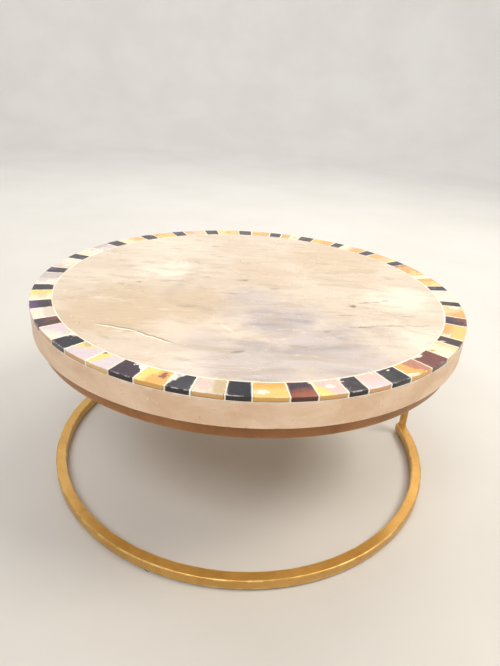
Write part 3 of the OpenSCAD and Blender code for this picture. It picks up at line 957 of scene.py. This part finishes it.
def makeBentBar(name, node, look):
    # rounded square section swept round the axis, drawn in at the ends of an open bar:
    # radius = middle + across * draw, height = level + up * draw
    inner, outer, low, high = ringOf(node)
    half = ((outer - inner) / 2, (high - low) / 2)
    outline = roundedOutline(half, look["corner"], 4, 7)
    points = nodePoints(node)
    azimuth = np.sort(np.arctan2(points[:, 1], points[:, 0]))
    gaps = np.diff(np.r_[azimuth, azimuth[0] + 2 * np.pi])
    widest = int(np.argmax(gaps))
    middle, level = (inner + outer) / 2, (low + high) / 2
    closed = gaps[widest] < look["opening"]
    directions, draw = circleOf(look["around"]), np.ones(look["around"])
    if not closed:
        start, stop = azimuth[(widest + 1) % len(azimuth)], azimuth[widest]
        stop += 2 * np.pi if stop < start else 0
        ease = look["endEase"] / middle
        steps = np.linspace(start + 3 * ease, stop - 3 * ease, look["around"])
        near = ease * np.array([0, 0, 0.3, 1])
        directions = np.r_[start + near, steps, stop - near[::-1]]
        drawn = [0.6, 0.90, 0.97, 1]
        draw = np.r_[drawn, draw, drawn[::-1]]
    radius, height = middle + outline[:, 0] * draw[:, None], level + outline[:, 1] * draw[:, None]
    rings = aroundAxis(radius, directions[:, None], height)
    edge = rowFact(edgeOf(outline, half, look["corner"]), rings)
    return surface(name, rings, loop=closed, facts={"edge": edge}, sharp=40)


def makePost(name, node, look):
    # rounded square section raised straight up, turned to face the axis
    points = nodePoints(node)
    centre = points.mean(0)
    turn = math.atan2(centre[1], centre[0])
    outwards = np.array([math.cos(turn), math.sin(turn)])
    sideways = np.array([-outwards[1], outwards[0]])
    along = points[:, :2] @ outwards
    half, middle = (along.max() - along.min()) / 2, (along.max() + along.min()) / 2
    low, high = points[:, 2].min(), points[:, 2].max()
    outline = roundedOutline((half, half), look["corner"], 4, 7)
    flat = (middle + outline[:, :1]) * outwards + outline[:, 1:] * sideways
    rings = np.stack([np.c_[flat, np.full(len(flat), z)] for z in np.linspace(low, high, look["rows"])])
    edge = rowFact(edgeOf(outline, (half, half), look["corner"]), rings)
    made = surface(name, rings, facts={"edge": edge}, sharp=40)
    return made, {"centre": middle * outwards, "out": outwards, "side": sideways, "half": half,
                  "low": low, "high": high}


# the last value sets how much of the gold's rubbed corner tone, a painted highlight with wear, the whole bead
# takes
weldLook = {"bead": 0.6 * mm, "lump": 0.14 * mm, "ripples": 15, "corner": 1.0 * mm, "around": 12, "wearAndHighlight": 0.3}


def makeWeld(name, post, height, upwards, look):
    # bead round the end of a post: a small circle carried along the post's outline, swelling and
    # thinning with the way round
    outline = roundedOutline((post["half"], post["half"]), look["corner"], 9, 9)
    share = np.linspace(0, 2 * np.pi, len(outline), endpoint=False)
    direction = outline / np.linalg.norm(outline, axis=1)[:, None]
    turn = circleOf(look["around"])[None, :, None]
    size = (look["bead"] + look["lump"] * np.sin(share * look["ripples"]))[:, None, None]
    flat = outline[:, None] + direction[:, None] * size * np.cos(turn)
    level = height + (size * np.sin(turn))[..., 0] * upwards
    world = post["centre"] + flat[..., :1] * post["out"] + flat[..., 1:] * post["side"]
    rings = np.concatenate([world, level[..., None]], -1)
    return surface(name, rings, loop=True, facts={"edge": np.full((1, 1, 1, 1), look["wearAndHighlight"])}, sharp=60)


def makeGold(name, light, dark, drifted, rubbedAndHighlit):
    # satin gold lacquer on steel: warmer and darker clouds, sprayed grain, rubbed corners in a light tone
    # that is also a painted highlight, and a few nicks
    made, tree, shader, coords = newMaterial(name,
        {"Metallic": 0.55, "Coat Weight": 0.2, "Coat Roughness": 0.22, "Coat IOR": 1.45})
    colour = blendColour(tree, mottled(tree, coords, 22.0, 0.35, 0.7, 0.3), light, dark)
    drift = between(tree, noise(tree, place(tree, coords, (1, 1, 0.4)), 160.0, 3.0), 0.5, 0.75)
    colour = tint(tree, colour, drift, 0.3, drifted)
    # light tone on the corners: painted highlight along them, with rubbing
    colour = blendColour(tree, wornAndHighlitEdge(tree, coords, 95.0, 0.6), colour, rubbedAndHighlit)
    nicks = between(tree, noise(tree, coords, 420.0, 2.0, 0.7), 0.72, 0.76)
    colour = tint(tree, colour, nicks, 0.5, paint(96, 66, 36))
    colour = blendColour(tree, settled(tree, coords, 1000.0, 0.25), colour, paint(214, 200, 176))
    grain = noise(tree, coords, 2200.0, 2.0, 0.6)
    marks = handled(tree, coords, 45.0, 0.08)
    roughness = plus(tree, between(tree, grain, 0.3, 0.7, 0.30, 0.38), marks["Smear"])
    relief = minus(tree, plus(tree, grain, marks["Height"]), times(tree, nicks, 2.0))
    feed(tree, shader, colour, roughness, relief, 0.12, 0.0001)
    return made


# the last tone of each gold is its corners' colour: a painted highlight with edge wear
gold = makeGold("goldLacquer", paint(214, 168, 88), paint(196, 148, 70), paint(178, 128, 58),
                paint(250, 226, 150))
# darker, browner copy of the gold for the upper ring under the marble: painted shade, partly a browner
# lacquer
shadedBrownGold = makeGold("shadedBrownGoldLacquer", paint(164, 112, 64), paint(138, 90, 50), paint(112, 72, 42),
                     paint(176, 126, 76))
finishPiece(makeBentBar("upperRing", "upper_ring", barLook), shadedBrownGold, "stand", "gold_lacquer", "upper_ring")
finishPiece(makeBentBar("lowerHoop", "lower_hoop", barLook), gold, "stand", "gold_lacquer", "lower_hoop")
for name, node in (("rightUpright", "right_upright"), ("rearUpright", "rear_upright")):
    bar, post = makePost(name, node, barLook)
    finishPiece(bar, gold, "stand", "gold_lacquer", node)
    finishPiece(makeWeld(name + "FootWeld", post, post["low"], 1, weldLook), gold, "stand", "gold_lacquer")
    finishPiece(makeWeld(name + "HeadWeld", post, post["high"], -1, weldLook), gold, "stand", "gold_lacquer")
print("gold bars done")


# ---- straps ----

strapLook = {"corner": 0.45 * mm, "steps": 60}


def makeStrap(name, node, look):
    # flat section carried from one end to the other along the strap, drawn in at its ends, each end curved
    # to the ring: along = share * sqrt(ring radius^2 - across^2)
    low, high = (np.array(corner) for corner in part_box(node))
    ringIn = ringOf("upper_ring")[0]
    size, middle = high - low, (low + high) / 2
    axis = 0 if size[0] > size[1] else 1
    half = (size[1 - axis] / 2, size[2] / 2)
    outline = roundedOutline(half, look["corner"], 6, 4)
    reach = np.sqrt(ringIn ** 2 - outline[:, 0] ** 2)
    ends = [reach if high[axis] > 0.1 else np.full(len(reach), high[axis]),
            -reach if low[axis] < -0.1 else np.full(len(reach), low[axis])]
    share = np.r_[0, 0, np.linspace(0.002, 0.998, look["steps"]), 1, 1][:, None]
    draw = np.r_[0.9, 0.985, np.ones(look["steps"]), 0.985, 0.9][:, None]
    along = ends[1] + (ends[0] - ends[1]) * share
    rings = np.zeros(along.shape + (3,))
    rings[..., axis], rings[..., 1 - axis] = along, outline[:, 0] * draw
    rings[..., 2] = middle[2] + outline[:, 1] * draw
    edge = rowFact(edgeOf(outline, half, look["corner"]), rings)
    return surface(name, rings, facts={"edge": edge}, sharp=40)


for name, node in (("longStrap", "long_strap"), ("frontHalfStrap", "front_half_strap"),
                   ("rearHalfStrap", "rear_half_strap")):
    finishPiece(makeStrap(name, node, strapLook), gold, "stand", "gold_lacquer", node)
print("straps done")


# ---- bearing and fasteners ----

def makePlated(name, light, dark, rough, scale):
    # plated metal: cell-like spangle between two tones, fine grain, smears and dust
    made, tree, shader, coords = newMaterial(name, {"Metallic": 1.0})
    cells = addNode(tree, "ShaderNodeTexVoronoi", {"Vector": coords, "Scale": scale},
                    feature="SMOOTH_F1").outputs["Distance"]
    cells = plus(tree, cells, times(tree, noise(tree, coords, scale * 2, 3.0), 0.5))
    colour = blendColour(tree, between(tree, cells, 0.4, 0.9), light, dark)
    colour = blendColour(tree, settled(tree, coords, 900.0, 0.35), colour, paint(176, 166, 150))
    grain = noise(tree, place(tree, coords, (1, 12, 1)), 900.0, 2.0, 0.6)
    marks = handled(tree, coords, 60.0, 0.12)
    roughness = plus(tree, between(tree, grain, 0.3, 0.7, rough, rough + 0.1), marks["Smear"])
    feed(tree, shader, colour, roughness, plus(tree, grain, marks["Height"]), 0.1, 0.00006)
    return made


def makeMoulded(look):
    # moulded plastic: patches of two tones and a fine grain that varies the roughness and feeds the bump
    made, tree, shader, coords = newMaterial(look["name"], look["fixed"])
    grain = noise(tree, coords, look["grain"], 2.0)
    colour = blendColour(tree, mottled(tree, coords, look["patches"]), look["light"], look["dark"])
    roughness = between(tree, grain, 0.3, 0.7, look["rough"], look["rough"] + 0.1)
    feed(tree, shader, colour, roughness, grain, look["bump"], look["depth"])
    return made


# Natural nylon, warm and slightly translucent
nylonLook = {
    "name": "cageNylon",
    "fixed": {"Subsurface Weight": 0.2, "Subsurface Scale": 0.001},
    "patches": 80.0,
    "light": paint(232, 222, 198),
    "dark": paint(214, 198, 168),
    "grain": 1800.0,
    "rough": 0.4,
    "bump": 0.15,
    "depth": 0.00006,
}


platedZinc = makePlated("platedZinc", paint(214, 214, 210), paint(176, 178, 180), 0.3, 260.0)
brightZinc = makePlated("brightZinc", paint(206, 208, 210), paint(170, 172, 176), 0.24, 700.0)
ballSteel = makePlated("ballSteel", paint(220, 221, 224), paint(196, 198, 202), 0.06, 900.0)
brass = makePlated("anchorBrass", paint(214, 178, 104), paint(180, 138, 70), 0.28, 500.0)
hardware = {
    "bearing_upper_plate": platedZinc, "bearing_lower_plate": platedZinc, "bearing_balls": ballSteel,
    "ball_cage": makeMoulded(nylonLook), "marble_anchors": brass, "top_screws": brightZinc,
    "strap_screws": brightZinc, "strap_washers": brightZinc, "strap_nuts": brightZinc,
}
for node, material in hardware.items():
    dress(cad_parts[node], material)
print("bearing and fasteners dressed")


# ---- pads ----

padLook = {"around": 48, "edge": 0.45 * mm}


def makePads(look):
    # one low dome per pad: a lathe with a rounded lower edge, moved to each pad's middle
    _, _, low, high = ringOf("hoop_pads")
    points = nodePoints("hoop_pads")
    azimuth = np.arctan2(points[:, 1], points[:, 0])
    turn = np.linspace(-np.pi / 2, 0, 6)
    edge = look["edge"]
    rings = []
    for start, end in spansOf("hoop_pads"):
        own = points[(azimuth >= start - 1e-6) & (azimuth <= end + 1e-6)]
        middle = (own[:, :2].min(0) + own[:, :2].max(0)) / 2
        radius = np.hypot(*(own[:, :2] - middle).T).max()
        profile = [(radius * 0.3, low), (radius * 0.7, low), (radius - edge - 0.1 * mm, low)]
        profile += [(radius - edge + edge * math.cos(t), low + edge + edge * math.sin(t)) for t in turn]
        profile += [(radius, high - 0.15 * mm), (radius - 0.05 * mm, high - 0.03 * mm),
                    (radius - 0.15 * mm, high), (radius * 0.6, high), (radius * 0.3, high)]
        pad = lathe(profile, circleOf(look["around"]))
        pad[..., :2] += middle
        rings.append(pad)
    return surface("hoopPads", np.array(rings), sharp=40)


# Clear soft vinyl, slightly yellowed
vinylLook = {
    "name": "clearPad",
    "fixed": {"Transmission Weight": 0.85, "IOR": 1.5, "Metallic": 0.0},
    "patches": 200.0,
    "light": paint(238, 240, 236),
    "dark": paint(226, 224, 210),
    "grain": 2400.0,
    "rough": 0.12,
    "bump": 0.08,
    "depth": 0.00005,
}
finishPiece(makePads(padLook), makeMoulded(vinylLook), "stand", "clear_pad", "hoop_pads")
print("pads done")


# ---- studio ----

studioLook = {
    "flat": 1.7,
    "cove": 0.9,
    "wall": 2.4,
    "around": 160,
    "air": 0.42,
    "airTone": (0.92, 0.93, 0.95, 1),
}


def makeStudio(look):
    # round floor that curves up into a wall on every side
    turn = np.linspace(-np.pi / 2, 0, 16)
    flat = [(r, 0.0) for r in np.linspace(0.02, look["flat"], 8)]
    curve = [(look["flat"] + look["cove"] * math.cos(t), look["cove"] * (1 + math.sin(t))) for t in turn]
    wall = [(look["flat"] + look["cove"], z) for z in (look["cove"] + 0.5, look["wall"])]
    rings = lathe(flat + curve[1:] + wall, circleOf(look["around"]))
    index = np.arange(rings.size // 3).reshape(rings.shape[:2])
    turned = np.roll(index, -1, axis=1)
    faces = np.stack([index[:-1], turned[:-1], turned[1:], index[1:]], -1).reshape(-1, 4).tolist()
    faces.append(index[0][::-1].tolist())
    mesh = bpy.data.meshes.new("studioFloor")
    mesh.from_pydata(rings.reshape(-1, 3).tolist(), [], faces)
    mesh.polygons.foreach_set("use_smooth", np.ones(len(mesh.polygons), bool))
    made = bpy.data.objects.new("studioFloor", mesh)
    bpy.context.scene.collection.objects.link(made)
    floorFinish, tree, shader, coords = newMaterial("paleFloor", {"Specular IOR Level": 0.25})
    patches = mottled(tree, coords, 5.0, 0.3, 0.7)
    colour = blendColour(tree, patches, paint(212, 210, 206), paint(207, 205, 200))
    feed(tree, shader, colour, between(tree, noise(tree, coords, 300.0), 0.3, 0.7, 0.7, 0.8))
    dress(made, floorFinish)


def addLight(name, spot, aim, size, watts, colour):
    # rectangular area light at a spot, facing its aim
    made = bpy.data.objects.new(name, bpy.data.lights.new(name, "AREA"))
    made.data.shape, made.data.size, made.data.size_y = "RECTANGLE", *size
    made.data.energy, made.data.color = watts, colour
    made.location = spot
    made.rotation_mode = "QUATERNION"
    made.rotation_quaternion = (Vector(aim) - Vector(spot)).to_track_quat("-Z", "Y")
    bpy.context.scene.collection.objects.link(made)


# Name, place, point it faces, width and height, watts, colour
studioLights = [
    ("keyRight", (0.85, -0.2, 1.25), (0, 0, 0.08), (0.5, 0.5), 10.5, (1.0, 0.90, 0.76)),
    ("fillFront", (-0.3, -1.0, 1.35), (0, 0, 0.06), (1.2, 0.5), 13.0, (1.0, 0.96, 0.93)),
    ("sheenRight", (0.4, 0.74, 1.0), (0.1, 0, 0.05), (0.5, 0.35), 3.2, (1.0, 0.92, 0.78)),
    ("topBack", (-0.5, 0.9, 1.2), (0, 0, 0.1), (1.0, 0.5), 2.5, (1.0, 0.97, 0.93)),
    ("wallWash", (0.0, 0.5, 1.9), (0, 2.6, 0.9), (2.4, 0.6), 36.0, (0.98, 0.98, 1.0)),
]
makeStudio(studioLook)
for light in studioLights:
    addLight(*light)
world = bpy.data.worlds.new("studioAir")
world.use_nodes = True
air = world.node_tree.nodes["Background"].inputs
air["Color"].default_value = studioLook["airTone"]
air["Strength"].default_value = studioLook["air"]
bpy.context.scene.world = world
bpy.context.scene.view_settings.view_transform = "Standard"
print("studio done")
